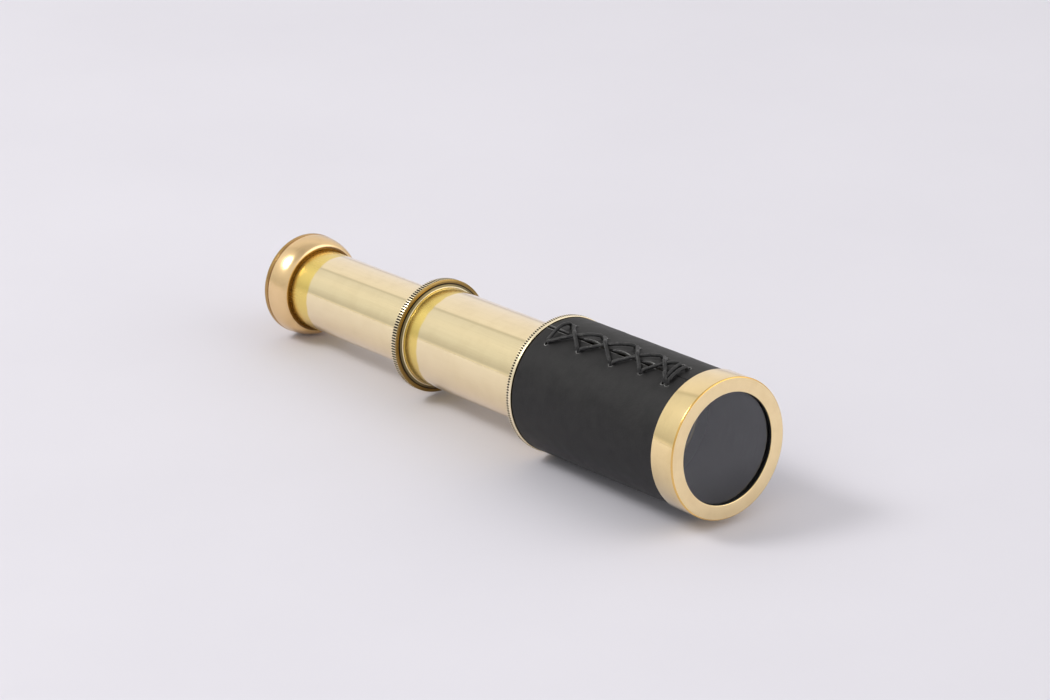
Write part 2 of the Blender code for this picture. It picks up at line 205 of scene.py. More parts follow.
# Lace: turning points as (station, degrees), hole to hole. They are punched by hand, so uneven.
LACE_CORNERS = (
    (11.2, 3.3),
    (10.8, 28.0),
    (19.2, 2.4),
    (28.8, 29.5),
    (38.0, 5.6),
    (49.5, 32.5),
    (48.6, 5.4),
    (39.7, 29.0),
    (28.1, 2.4),
    (19.7, 27.0),
    (13.3, 3.3),
    (12.0, 28.0),
)
LACE_DIAGONAL = 4.0
LACE_RADIUS = 0.44
LACE_WIDTHS = (0.90, 1.06)
LACE_UNEVEN = 0.13
LACE_DRIFT = 0.12
LACE_SIDES = 14
LACE_STEP = 0.16
LACE_LEAST_STEPS = 12
LACE_TUCK = 0.72
LACE_GAP = 0.18
LACE_TUCK_REACH = 0.85
CROSSING_ENDS = (0.1, 0.9)
CROSSING_RISE = 0.84
CROSSING_WIDTH = 1.5
REAR_BAR = 20.0
BAR_SLANT = 1.0
BAR_ARCH = 0.85
UNDER_ARCH = 0.42
OVER_ARCH = 0.15

# Brass left from the lathe, some with painted highlights, reflections or shade as noted: colour square on, colour
# edge on, roughness, depth of the tool marks
TURNED_BRASS = {
    "bezel_face": ((1.0, 0.80, 0.47), (1.0, 0.82, 0.52), 0.34, 0.012),
    "bezel_side": ((0.97, 0.76, 0.40), (1.0, 0.82, 0.56), 0.10, 0.004),
    # deeper gold on the bezel's front fillet: a painted reflection line between side and face
    "bezel_edge": ((0.88, 0.55, 0.17), (0.93, 0.61, 0.25), 0.16, 0.004),
    "collar": ((0.86, 0.66, 0.32), (0.92, 0.72, 0.42), 0.14, 0.004),
    # paler, brighter brass on knurled crests and the draw collar's bead: a painted highlight
    "rim": ((1.0, 0.88, 0.62), (1.0, 0.90, 0.68), 0.28, 0.004),
    # dark gold on the draw collar's bevel: a painted reflection of dark surroundings
    "aged": ((0.28, 0.175, 0.050), (0.40, 0.26, 0.08), 0.18, 0.006),
    # dark brown in the eyepiece bell's front recess: painted shade
    "recess": ((0.22, 0.115, 0.038), (0.30, 0.165, 0.060), 0.25, 0.006),
    # dark olive on the draw collar's cone: a painted reflection of dark surroundings
    "dull": ((0.17, 0.14, 0.07), (0.26, 0.21, 0.11), 0.30, 0.006),
    "cap": ((0.92, 0.66, 0.36), (0.80, 0.56, 0.30), 0.20, 0.005),
    # darker brass on the bell's rear rim: painted shade
    "cap_rim": ((0.46, 0.28, 0.10), (0.52, 0.33, 0.13), 0.16, 0.005),
}
TARNISH = (0.55, 0.37, 0.15)
MARK_SHADE = (0.62, 0.45, 0.20)
TUBE_COLOURS = ((0.97, 0.82, 0.51), (1.0, 0.84, 0.63))
# yellow of the band at each draw's rear end: a painted reflection
PAINTED_REFLECTION_TINT = (0.90, 0.68, 0.20)
GLASS_INDEX = 1.87
COATED_INDEX = 1.0

# Studio: how bright the walls are, by degrees from overhead round to the -Y side
STUDIO_WALLS = (
    (-120.0, (0.90, 0.90, 0.90)),
    (-92.0, (0.70, 0.69, 0.68)),
    (-78.0, (1.02, 1.00, 0.99)),
    (-4.0, (1.05, 1.02, 1.00)),
    (1.0, (0.68, 0.67, 0.63)),
    (6.0, (0.92, 0.92, 0.90)),
    (36.0, (1.02, 1.01, 0.98)),
    (62.0, (0.92, 0.92, 0.90)),
    (84.0, (0.68, 0.67, 0.65)),
    (91.0, (1.10, 1.07, 1.03)),
    (120.0, (0.95, 0.94, 0.92)),
)
STUDIO_STRENGTH = 0.85
CEILING_FROM = 0.72
CEILING_FULL = 0.95
CEILING_DIMMED = 0.70
FLOOR_COLOURS = ((0.678, 0.667, 0.728), (0.692, 0.681, 0.742))
FLOOR_SIZE = 6.0

# Softboxes, aimed at the origin: place, size, watts, colour
SOFTBOXES = {
    "key_softbox": ((-0.55, -0.75, 1.05), 0.7, 12.0, (1.0, 0.985, 0.96)),
    "fill_softbox": ((0.90, 0.70, 0.75), 2.2, 7.0, (0.98, 0.985, 1.0)),
}
SOFTBOX_CORE = 0.10
SOFTBOX_EDGE = 0.50
SOFTBOX_PEAK = 2.2

# Camera: azimuth and elevation round the object, then the lens
CAMERA_AZIMUTH = math.radians(50.84)
CAMERA_ELEVATION = math.radians(21.93)
CAMERA_ROLL = math.radians(-0.55)
CAMERA_DISTANCE = 1.008
CAMERA_AIM = Vector((2.87, 3.80, 17.23)) * MM
CAMERA_LENS = 154.3
CAMERA_SENSOR = 36.0
CAMERA_CLIP = (0.01, 50.0)


# -------- the optical axis


def axis_frame():
    """Telescope axes to world: +X towards the objective, +Z up, origin on its front face."""
    ahead = Vector(frame["joints"][0]["axis"]).normalized()
    up = Vector((-ahead.z, 0.0, ahead.x))
    low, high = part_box("large_draw_tube")
    on_axis = (low + high) / 2.0
    mounts = {mount["name"]: mount for mount in frame["record"]["mounts"]}
    face = Vector(mounts["objective_face"]["pos_m"])
    origin = on_axis + ahead * (face - on_axis).dot(ahead)
    columns = Matrix((ahead, Vector((0.0, 1.0, 0.0)), up)).transposed().to_4x4()
    columns.translation = origin
    return columns


TO_WORLD = axis_frame()
TO_LOCAL = TO_WORLD.inverted()


def local_point(station, radius, angle):
    """A point in the telescope's own axes, in metres."""
    return Vector((-station, -radius * math.sin(angle), radius * math.cos(angle))) * MM


def half_turn(angle):
    """The same angle between minus and plus half a turn."""
    return (angle + math.pi) % math.tau - math.pi


def weld(corner, corners):
    """The corner already in the list within a hair of this one, or the corner itself."""
    for known in corners:
        if abs(known[0] - corner[0]) < WELD and abs(known[1] - corner[1]) < WELD:
            return known
    corners.append(corner)
    return corner


def cad_outline(node):
    """A turned CAD node's profile as (station, radius) corners in order, read from its mesh."""
    mesh = frame["nodes"][node].data
    corners, places = [], []
    for vertex in mesh.vertices:
        point = TO_LOCAL @ vertex.co / MM
        corner = weld((round(-point.x, 3), round(math.hypot(point.y, point.z), 3)), corners)
        places.append((corner, math.atan2(-point.y, point.z)))
    neighbours = defaultdict(set)
    for edge in mesh.edges:
        (a, turn_a), (b, turn_b) = (places[index] for index in edge.vertices)
        lengthwise = abs(half_turn(turn_a - turn_b)) < SAME_TURN
        if a != b and (lengthwise or min(a[1], b[1]) < WELD):
            neighbours[a].add(b)
            neighbours[b].add(a)
    ends = [corner for corner in corners if len(neighbours[corner]) == 1]
    outline = [min(ends or corners)]
    while True:
        onward = sorted(c for c in neighbours[outline[-1]] if c not in outline)
        if not onward:
            return outline
        outline.append(onward[-1] if len(outline) == 1 else onward[0])


def span(node):
    """(front station, rear station, inner radius, outer radius) of a turned CAD node."""
    outline = cad_outline(node)
    stations = [station for station, _ in outline]
    radii = [radius for _, radius in outline]
    return min(stations), max(stations), min(radii), max(radii)


# -------- turned pieces


def rounded(corners):
    """A closed outline with arcs at its corners. A corner is (station, radius, fillet)."""
    points = []
    count = len(corners)
    for index, (station, radius, fillet) in enumerate(corners):
        here = Vector((station, radius))
        before = Vector(corners[index - 1][:2]) - here
        after = Vector(corners[(index + 1) % count][:2]) - here
        half = before.angle(after, math.pi) / 2.0
        if fillet <= 0.0 or half > WIDEST_CORNER:
            points.append((station, radius))
            continue
        reach = min(fillet / math.tan(half), 0.48 * before.length, 0.48 * after.length)
        fillet = reach * math.tan(half)
        inward = (before.normalized() + after.normalized()).normalized()
        centre = here + inward * fillet / math.sin(half)
        start = here + before.normalized() * reach - centre
        stop = here + after.normalized() * reach - centre
        for step in range(ARC_STEPS + 1):
            arm = start.lerp(stop, step / ARC_STEPS).normalized() * fillet
            points.append(tuple(centre + arm))
    return points


def softened(node, fillet=SMALL_FILLET):
    """The outline of a CAD node with every corner broken by the same small fillet."""
    return rounded([(*corner, fillet) for corner in cad_outline(node)])


def new_object(name, data):
    """An object with this data, linked to the scene."""
    thing = bpy.data.objects.new(name, data)
    bpy.context.scene.collection.objects.link(thing)
    return thing


def new_piece(name, mesh, body, materials, replaced):
    """A smooth-shaded piece in the telescope's axes, riding a body and replacing CAD nodes."""
    for material in materials:
        mesh.materials.append(material)
    mesh.shade_smooth()
    mesh.set_sharp_from_angle(angle=SHARP_ANGLE)
    piece = new_object(name, mesh)
    piece.matrix_world = TO_WORLD
    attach(piece, body)
    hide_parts(*replaced)
    return piece


def mesh_from(bm, name):
    """A mesh with its normals outward, from a bmesh that is then freed."""
    bmesh.ops.recalc_face_normals(bm, faces=bm.faces)
    mesh = bpy.data.meshes.new(name)
    bm.to_mesh(mesh)
    bm.free()
    return mesh


def lathe(name, outline, segments=OUTER_SEGMENTS, cut=None):
    """Spin an outline round the axis. An outline that meets the axis at both ends is a lens."""
    bm = bmesh.new()
    columns = []
    for station, radius in outline:
        if radius < WELD:
            columns.append([bm.verts.new(local_point(station, 0.0, 0.0))] * segments)
            continue
        ring = []
        for step in range(segments):
            turned_to = min(radius, cut(station, step)) if cut else radius
            angle = math.tau * (step + 0.5) / segments
            ring.append(bm.verts.new(local_point(station, turned_to, angle)))
        columns.append(ring)
    solid = outline[0][1] < WELD
    pairs = list(zip(columns, columns[1:] + columns[:1]))
    for a, b in pairs[:-1] if solid else pairs:
        for step in range(segments):
            onward = (step + 1) % segments
            corners = [a[step], b[step], b[onward], a[onward]]
            bm.faces.new(list(dict.fromkeys(corners)))
    return mesh_from(bm, name)


def knurl(front, rear, radius, teeth):
    """A straight knurl between two stations: the radius left at each step round the rim."""
    def cut(station, step):
        if not front <= station <= rear:
            return math.inf
        return radius - KNURL_DEPTH * TOOTH[step % len(TOOTH)]
    return cut, teeth * len(TOOTH)


def paint(piece, index, test):
    """Give a material index to the faces whose station, radius and outward turn pass a test."""
    for face in piece.data.polygons:
        across = Vector((0.0, face.center.y, face.center.z))
        radius = across.length
        outward = face.normal.dot(across) / max(radius, 1e-9)
        if test(-face.center.x / MM, radius / MM, outward):
            face.material_index = index


def paint_knurl(piece, index, front, radius):
    """Painted shade darkens the bottoms of the cuts between a knurl's teeth."""
    low, high = radius - KNURL_FOOT, radius - KNURL_SHADE_DEPTH
    paint(piece, index, lambda s, r, out: s > front and low < r < high and out > 0.1)


# -------- materials


class Nodes:
    """Adds shader nodes to a tree and joins them up."""

    def __init__(self, tree):
        self.tree = tree

    def feed(self, socket, value):
        """Link a node's output to a socket, or set the socket to a number, vector or colour."""
        if isinstance(value, bpy.types.NodeSocket):
            self.tree.links.new(value, socket)
        else:
            socket.default_value = (*value, 1.0) if socket.type == "RGBA" else value

    def add(self, kind, inputs, output=0, **settings):
        node = self.tree.nodes.new("ShaderNode" + kind)
        for key, value in settings.items():
            setattr(node, key, value)
        for key, value in inputs.items():
            self.feed(node.inputs[key], value)
        return node.outputs[output]

    def math(self, operation, a, b=0.0):
        return self.add("Math", {0: a, 1: b}, operation=operation)

    def remap(self, value, low, high, to_low=0.0, to_high=1.0, smooth=False):
        kind = "SMOOTHSTEP" if smooth else "LINEAR"
        ends = {"From Min": low, "From Max": high, "To Min": to_low, "To Max": to_high}
        return self.add("MapRange", {"Value": value, **ends}, interpolation_type=kind)

    def noise(self, vector, scale, detail=2.0, roughness=0.5):
        inputs = {"Vector": vector, "Scale": scale, "Detail": detail, "Roughness": roughness}
        return self.add("TexNoise", inputs)

    def mix(self, factor, a, b):
        node = self.tree.nodes.new("ShaderNodeMix")
        node.data_type = "RGBA"
        for index, value in ((0, factor), (6, a), (7, b)):
            self.feed(node.inputs[index], value)
        return node.outputs[2]

    def bump(self, height, distance, strength=1.0, normal=None):
        inputs = {"Height": height, "Distance": distance, "Strength": strength}
        if normal:
            inputs["Normal"] = normal
        return self.add("Bump", inputs)

    def point(self):
        return self.add("TexCoord", {}, "Object")

    def cylinder(self):
        """(station, radius, side, top) of the shaded point: millimetres, and its direction."""
        x, y, z = self.split(self.point())
        station = self.math("MULTIPLY", x, -1.0 / MM)
        squares = self.math("ADD", self.math("MULTIPLY", y, y), self.math("MULTIPLY", z, z))
        radius = self.math("MAXIMUM", self.math("SQRT", squares), 1e-6)
        side = self.math("DIVIDE", y, radius)
        top = self.math("DIVIDE", z, radius)
        return station, self.math("DIVIDE", radius, MM), side, top

    def split(self, vector):
        node = self.tree.nodes.new("ShaderNodeSeparateXYZ")
        self.feed(node.inputs[0], vector)
        return node.outputs

    def combine(self, x, y, z):
        return self.add("CombineXYZ", {"X": x, "Y": y, "Z": z})


def new_material(name):
    """A new material, its nodes, and a function that plugs values into its shader."""
    material = bpy.data.materials.new(name)
    material.use_nodes = True
    nodes = Nodes(material.node_tree)
    shader = material.node_tree.nodes["Principled BSDF"]

    def plug(**inputs):
        for key, value in inputs.items():
            nodes.feed(shader.inputs[key.replace("_", " ")], value)

    return material, nodes, plug


def brass_look(nodes, facing_colour, edge_colour, marks, smudge_vector, tarnish):
    """Brass tint, square on and edge on, with faint tool marks and smudges; and the smudges."""
    facing = nodes.add("LayerWeight", {"Blend": 0.5}, "Facing")
    edge = nodes.remap(facing, 0.25, 0.95, smooth=True)
    colour = nodes.mix(edge, facing_colour, edge_colour)
    smudge = nodes.noise(smudge_vector, 220.0, 4.0, 0.55)
    patch = nodes.remap(smudge, 0.38, 0.72, smooth=True)
    colour = nodes.mix(nodes.math("MULTIPLY", patch, tarnish), colour, TARNISH)
    return nodes.mix(nodes.remap(marks, 0.3, 0.7, 0.0, 0.10), colour, MARK_SHADE), patch


def tube_brass(name, band_front):
    """Mirror-polished drawn tube, with a painted reflection behind the station band_front: a deeper yellow band
    standing in for the next collar or cap mirrored in the tube.
    """
    material, nodes, plug = new_material(name)
    station, _, side, top = nodes.cylinder()
    streaks_at = nodes.combine(
        nodes.math("MULTIPLY", station, 0.05),
        nodes.math("MULTIPLY", side, 46.0),
        nodes.math("MULTIPLY", top, 46.0),
    )
    streaks = nodes.noise(streaks_at, 1.0, 5.0, 0.65)
    point = nodes.point()
    colour, patch = brass_look(nodes, *TUBE_COLOURS, streaks, point, 0.08)
    wobble = nodes.remap(nodes.noise(point, 260.0, 3.0), 0.2, 0.8, -BAND_WOBBLE, BAND_WOBBLE)
    edge = nodes.math("ADD", station, wobble)
    band = nodes.remap(edge, band_front - BAND_FADE, band_front + BAND_FADE, smooth=True)
    # a painted reflection: the band's yellow stands in for the collar or cap mirrored in the tube
    lacquer = nodes.mix(band, colour, PAINTED_REFLECTION_TINT)
    polish = nodes.remap(streaks, 0.3, 0.8, 0.05, 0.12)
    rough = nodes.math("ADD", polish, nodes.math("MULTIPLY", patch, 0.04))
    plug(
        Base_Color=lacquer,
        Metallic=1.0,
        Roughness=nodes.math("ADD", rough, nodes.math("MULTIPLY", band, 0.16)),
        Normal=nodes.bump(streaks, 0.004 * MM, 0.5),
    )
    return material


def turned_brass(name, facing_colour, edge_colour, roughness, mark_depth):
    """Brass left from the lathe: fine rings round the axis, on faces and on rims alike."""
    material, nodes, plug = new_material(name)
    station, radius, side, top = nodes.cylinder()
    along = nodes.math("MULTIPLY", nodes.math("ADD", station, radius), 9.0)
    rings_at = nodes.combine(
        along,
        nodes.math("MULTIPLY", side, 0.9),
        nodes.math("MULTIPLY", top, 0.9),
    )
    rings = nodes.noise(rings_at, 1.0, 4.0, 0.7)
    point = nodes.point()
    colour, patch = brass_look(nodes, facing_colour, edge_colour, rings, point, 0.14)
    rough = nodes.remap(rings, 0.25, 0.75, roughness * 0.8, roughness * 1.25)
    plug(
        Base_Color=colour,
        Metallic=1.0,
        Roughness=nodes.math("ADD", rough, nodes.math("MULTIPLY", patch, 0.05)),
        Normal=nodes.bump(rings, mark_depth * MM, 0.6),
    )
    return material


def blackened_brass():
    """Matt black lacquer, a little dusty, with the lathe's rings showing through."""
    material, nodes, plug = new_material("blackened_brass_finish")
    station, radius, side, top = nodes.cylinder()
    rings_at = nodes.combine(nodes.math("ADD", station, radius), side, top)
    rings = nodes.noise(rings_at, 5.0, 3.0)
    point = nodes.point()
    dust = nodes.remap(nodes.noise(point, 1500.0, 4.0, 0.6), 0.55, 0.75)
    plug(
        Base_Color=nodes.mix(dust, (0.010, 0.010, 0.011), (0.035, 0.033, 0.030)),
        Roughness=nodes.remap(rings, 0.3, 0.7, 0.42, 0.62),
        Normal=nodes.bump(rings, 0.03 * MM, 0.4),
    )
    return material


def leather():
    """Smooth black leather: fine pebbled grain, faint creases and a satin finish."""
    material, nodes, plug = new_material("leather_finish")
    point = nodes.point()
    warp = nodes.add("TexNoise", {"Vector": point, "Scale": 900.0, "Detail": 2.0}, "Color")
    bent = nodes.add("VectorMath", {0: warp, 1: (0.0006, 0.0006, 0.0006)}, operation="MULTIPLY")
    at = nodes.add("VectorMath", {0: point, 1: bent}, operation="ADD")
    cells = {"Vector": at, "Scale": 2300.0, "Smoothness": 0.6}
    grain = nodes.add("TexVoronoi", cells, "Distance", feature="SMOOTH_F1")
    pores = nodes.noise(point, 4200.0, 3.0, 0.6)
    creases = nodes.noise(point, 320.0, 5.0, 0.62)
    depth = nodes.remap(creases, 0.35, 0.7)
    tone = nodes.mix(depth, (0.0210, 0.0208, 0.0214), (0.0300, 0.0292, 0.0298))
    worn = nodes.mix(nodes.remap(pores, 0.62, 0.8, 0.0, 0.5), tone, (0.048, 0.047, 0.047))
    pebbles = nodes.math("MULTIPLY", grain, 0.7)
    height = nodes.math("ADD", pebbles, nodes.math("MULTIPLY", pores, 0.4))
    coarse = nodes.bump(creases, 0.10 * MM, 0.35)
    plug(
        Base_Color=worn,
        Roughness=nodes.remap(creases, 0.3, 0.7, 0.43, 0.56),
        Specular_IOR_Level=0.13,
        Normal=nodes.bump(height, 0.045 * MM, 0.55, coarse),
    )
    return material


def leather_edge():
    """Cut and worn edges of the leather, rubbed smooth and a little paler, and made paler still as a painted
    highlight where they catch the light.
    """
    material, nodes, plug = new_material("leather_edge_finish")
    point = nodes.point()
    fibres = nodes.noise(point, 3200.0, 4.0, 0.65)
    rubbed = nodes.remap(fibres, 0.4, 0.7)
    plug(
        Base_Color=nodes.mix(rubbed, (0.022, 0.022, 0.023), (0.125, 0.122, 0.120)),
        Roughness=nodes.remap(fibres, 0.3, 0.7, 0.24, 0.40),
        Specular_IOR_Level=0.9,
        Normal=nodes.bump(fibres, 0.03 * MM, 0.5),
    )
    return material


def lace_cord():
    """Waxed leather thong: dark, fibrous, with paler worn spots."""
    material, nodes, plug = new_material("lace_cord_finish")
    point = nodes.point()
    fibres = nodes.noise(point, 2600.0, 5.0, 0.7)
    scuffs = nodes.remap(nodes.noise(point, 800.0, 3.0, 0.6), 0.5, 0.75)
    plug(
        Base_Color=nodes.mix(scuffs, (0.017, 0.017, 0.018), (0.042, 0.041, 0.040)),
        Roughness=nodes.remap(fibres, 0.3, 0.7, 0.38, 0.58),
        Specular_IOR_Level=0.35,
        Normal=nodes.bump(fibres, 0.06 * MM, 0.7),
    )
    return material


def felt():
    """Dark red felt with a matted nap."""
    material, nodes, plug = new_material("felt_finish")
    point = nodes.point()
    nap = nodes.noise(point, 3600.0, 6.0, 0.75)
    plug(
        Base_Color=nodes.mix(nap, (0.030, 0.006, 0.006), (0.095, 0.022, 0.020)),
        Roughness=0.95,
        Sheen_Weight=0.4,
        Normal=nodes.bump(nap, 0.15 * MM, 0.8),
    )
    return material


def grime():
    """Painted shade: dark brown standing in for the shade that falls in grooves, knurling, slots and deep bores.
    """
    material, nodes, plug = new_material("grime_finish")
    point = nodes.point()
    patches = nodes.noise(point, 900.0, 4.0, 0.6)
    plug(
        Base_Color=nodes.mix(patches, (0.014, 0.008, 0.004), (0.055, 0.032, 0.013)),
        Metallic=0.6,
        Roughness=nodes.remap(patches, 0.3, 0.7, 0.42, 0.65),
        Normal=nodes.bump(patches, 0.02 * MM, 0.5),
    )
    return material


def glass(name, index):
    """Clear optical glass, very slightly uneven in tint."""
    material, nodes, plug = new_material(name)
    point = nodes.point()
    film = nodes.noise(point, 140.0, 4.0, 0.6)
    plug(
        Base_Color=nodes.mix(film, (0.93, 0.95, 0.99), (0.95, 0.97, 1.0)),
        Roughness=0.0,
        IOR=index,
        Specular_Tint=(0.94, 0.96, 1.0),
        Transmission_Weight=1.0,
    )
    return material


# -------- barrel


def make_bezel(looks):
    """The bezel: polished side, satin face, a deeper gold edge between them painted as a reflection line, and
    blackened inside.
    """
    front, rear, aperture, radius = span("objective_bezel")
    corners = sorted(cad_outline("objective_bezel"))
    lip = min(station for station, r in corners if r == aperture and station > front)
    bore = min(r for station, r in corners if station == lip and r > aperture)
    socket = min(r for station, r in corners if station == rear)
    shoulder = max(station for station, r in corners if r == socket and station < rear)
    outline = rounded([
        (front, aperture, BEZEL_LIP_FILLET),
        (front, radius, BEZEL_FILLET),
        (rear, radius, BEZEL_REAR_FILLET),
        (rear, socket, CRISP_FILLET),
        (shoulder, socket, 0.0),
        (shoulder, bore, CRISP_FILLET),
        (lip, bore, 0.0),
        (lip, aperture, LIP_BACK_FILLET),
    ])
    name = "objective_bezel_turned"
    finish = [looks["bezel_side"], looks["bezel_face"], looks["black"], looks["bezel_edge"]]
    piece = new_piece(name, lathe(name, outline), "barrel", finish, ["objective_bezel"])
    edge = radius - BEZEL_FILLET
    inside = front + BEZEL_LIP_DEPTH
    # painted reflection: deeper gold on the front fillet
    paint(piece, 3, lambda s, r, out: s < front + BEZEL_FILLET and r > edge)
    paint(piece, 1, lambda s, r, out: s < front + FACE_DEPTH and r > aperture)
    paint(piece, 2, lambda s, r, out: s > inside and out < BEZEL_BORE_TURN)


def bore_groove(corners, bore, spigot):
    """(front station, rear station, radius) of the groove inside a collar's bore."""
    groove = min(r for _, r in corners if bore < r < spigot)
    grooved = sorted(station for station, r in corners if r == groove)
    return grooved[0], grooved[-1], groove


def knurled_end(knurl_front, rear, radius, face, bore, groove):
    """The outline that both collars share: knurled rim, rear face, bore and its groove."""
    groove_front, groove_rear, groove_radius = groove
    return [
        (knurl_front + KNURL_LEAD, radius, 0.0),
        (rear - KNURL_CHAMFER, radius, 0.0),
        (rear, radius - KNURL_CHAMFER, 0.0),
        (rear, radius - face, 0.0),
        (rear, bore, BORE_FILLET),
        (groove_rear, bore, GROOVE_FILLET),
        (groove_rear, groove_radius, 0.0),
        (groove_front, groove_radius, 0.0),
        (groove_front, bore, GROOVE_FILLET),
    ]


def make_barrel_collar(looks):
    """The barrel collar: a plain polished land, then the knurled rim."""
    front, rear, bore, radius = span("barrel_collar")
    corners = cad_outline("barrel_collar")
    rim_front = min(station for station, r in corners if r == radius)
    spigot = max(r for station, r in corners if station == front)
    knurl_front = rear - BARREL_KNURL_WIDTH
    groove = bore_groove(corners, bore, spigot)
    outline = rounded([
        (front, bore, CRISP_FILLET),
        (front, spigot, SPIGOT_FILLET),
        (rim_front, spigot, 0.0),
        (rim_front, radius - LAND_DROP, BORE_FILLET),
        (knurl_front, radius - LAND_DROP, 0.0),
        *knurled_end(knurl_front, rear, radius, BARREL_REAR_FACE, bore, groove),
    ])
    cut, segments = knurl(knurl_front + LAND_DROP, rear, radius, BARREL_TEETH)
    name = "barrel_collar_knurled"
    mesh = lathe(name, outline, segments, cut)
    finish = [looks["collar"], looks["grime"], looks["rim"]]
    piece = new_piece(name, mesh, "barrel", finish, ["barrel_collar"])
    # painted highlight: paler brass on the knurl's crests
    paint(piece, 2, lambda s, r, out: r > radius - PAINTED_HIGHLIGHT_DEPTH)
    # painted shade between the knurl's teeth
    paint_knurl(piece, 1, knurl_front, radius)


def make_tube(node, body, fillet, look, looks):
    """A polished tube, blackened inside."""
    name = node + "_turned"
    finish = [look, looks["black"]]
    mesh = lathe(name, softened(node, fillet))
    piece = new_piece(name, mesh, body, finish, [node])
    paint(piece, 1, lambda s, r, out: out < LOOKS_INWARD)


# -------- leather sleeve


def lace_strands():
    """The lace's straight runs between holes, each as two (station, angle) ends."""
    holes = [(station, math.radians(degrees)) for station, degrees in LACE_CORNERS]
    return list(zip(holes, holes[1:]))


def is_diagonal(strand):
    """True for a strand that crosses the seam aslant, not straight across."""
    return abs(strand[1][0] - strand[0][0]) > LACE_DIAGONAL


def goes_over(strand):
    """Of two crossing strands, the one that leans down towards the objective lies on top."""
    front, rear = sorted(strand)
    return is_diagonal(strand) and front[1] > rear[1]


def crossing(strand, other):
    """Share of a strand's length where another crosses it, or None."""
    (s0, a0), (s1, a1) = strand
    (s2, a2), (s3, a3) = other
    slant = (s1 - s0) * (a3 - a2) - (a1 - a0) * (s3 - s2)
    if abs(slant) < 1e-9:
        return None
    share = ((s2 - s0) * (a3 - a2) - (a2 - a0) * (s3 - s2)) / slant
    other_share = ((s2 - s0) * (a1 - a0) - (a2 - a0) * (s1 - s0)) / slant
    near, far = CROSSING_ENDS
    return share if near < share < far and near < other_share < far else None


def crossings(strand):
    """The shares of a top strand's length at which it crosses the strands under it."""
    if not goes_over(strand):
        return []
    found = [crossing(strand, other) for other in lace_strands()]
    return [share for share in found if share is not None]


def seam_pins():
    """Stations where the lace holds the seam down: every crossing, and the doubled bar."""
    pins = [sum(station for station, _ in LACE_CORNERS[:2]) / 2.0]
    for strand in lace_strands():
        for share in crossings(strand):
            pins.append(strand[0][0] + (strand[1][0] - strand[0][0]) * share)
    return sorted(pins)


def graded(start, stop, spots, reach, fine, coarse):
    """Values from start to stop, close together near the spots and wide apart elsewhere."""
    values = [start]
    while values[-1] < stop - fine * 0.5:
        here = values[-1]
        away = min(abs(here + fine - spot) for spot in spots)
        growth = min(max(away - reach, 0.0) / (coarse * 2.0), 1.0)
        values.append(min(here + fine + (coarse - fine) * growth, stop))
    return values


def opening(station, pins):
    """How far the seam stands open: 1 halfway between two pins, 0 at a pin."""
    for front, rear in zip(pins, pins[1:]):
        if front <= station <= rear:
            full = min((rear - front) / FULL_OPENING, 1.0) ** 2
            return full * math.sin(math.pi * (station - front) / (rear - front)) ** 2
    if station <= pins[-1]:
        return 0.0
    return LOOSE_END * (1.0 - math.exp(-((station - pins[-1]) / LOOSE_REACH) ** 2))


def rolled(distance, roll):
    """How far the surface has dropped at this distance from a rounded edge."""
    if distance >= roll:
        return 0.0
    return roll - math.sqrt(roll * roll - (roll - distance) ** 2)


def lip_height(station, angle, hole, outer):
    """How much the leather rises round a hole that the lace pulls on, less its dimple."""
    away = math.hypot(station - hole[0], half_turn(angle - hole[1]) * outer)
    if away >= HOLE_REACH:
        return 0.0
    uneven = 1.0 + HOLE_UNEVEN * noise.noise(Vector((station, angle * outer, hole[0])) * 1.3)
    ring = math.exp(-(((away - HOLE_RADIUS - HOLE_LIP_OFFSET) / HOLE_LIP_WIDTH) ** 2))
    dimple = math.exp(-((away / HOLE_DIMPLE_WIDTH) ** 2))
    return HOLE_LIP * uneven * ring - HOLE_DIMPLE * dimple


def leather_point(station, turn, ends, radii, holes, pins):
    """(angle, outer radius, inner radius) of the leather, turn being the angle past the seam."""
    inner, outer = radii
    opened = opening(station, pins)
    closed = min(max((station - ends[0]) / pins[0], SEAM_CLOSED), 1.0)
    gap = (SEAM_HALF_GAP * closed + SEAM_SPREAD * opened) / outer
    sign = 1.0 if turn < math.pi else -1.0
    from_edge = min(turn, math.tau - turn) * outer
    angle = SEAM_ANGLE + turn + sign * gap * math.exp(-from_edge / SEAM_REACH)
    curl = LOWER_CURL if sign > 0.0 else UPPER_CURL
    lift = curl * opened * math.exp(-((from_edge / CURL_REACH) ** 2))
    around = Vector((station * 0.35, math.cos(angle) * 5.0, math.sin(angle) * 5.0))
    top = outer + lift + RIPPLE * noise.noise(around)
    top -= rolled(station - ends[0], FRONT_ROLL)
    top -= rolled(ends[1] - station, REAR_ROLL)
    top -= rolled(from_edge, EDGE_ROLL + LIFTED_ROLL * opened) * EDGE_ROLL_SHARE
    for hole in holes:
        top += lip_height(station, angle, hole, outer)
    return angle, top, inner + lift


def pulled_to_hole(station, angle, holes, outer):
    """The grid point, moved onto a hole's rim if it lies close to it."""
    for hole_station, hole_angle in holes:
        across = half_turn(angle - hole_angle)
        away = math.hypot(station - hole_station, across * outer)
        if HOLE_RADIUS * HOLE_PULL[0] < away < HOLE_RADIUS * HOLE_PULL[1]:
            pull = HOLE_RADIUS / away
            return hole_station + (station - hole_station) * pull, hole_angle + across * pull
    return station, angle


def leather_grid(front, rear, holes, outer):
    """Stations and turns of the sleeve's grid, close together at its edges and holes."""
    spots = [station for station, _ in holes] + [front, rear]
    stations = graded(front, rear, spots, FINE_REACH, FINE_CELL, COARSE_CELL)
    halves = []
    for sign in (1.0, -1.0):
        spots = [0.0] + [(a - SEAM_ANGLE) * sign for _, a in holes if (a - SEAM_ANGLE) * sign > 0.0]
        halves.append(graded(0.0, math.pi, spots, 1.0 / outer, FINE_CELL / outer, COARSE_ANGLE))
    return stations, halves[0] + [math.tau - turn for turn in reversed(halves[1][:-1])]


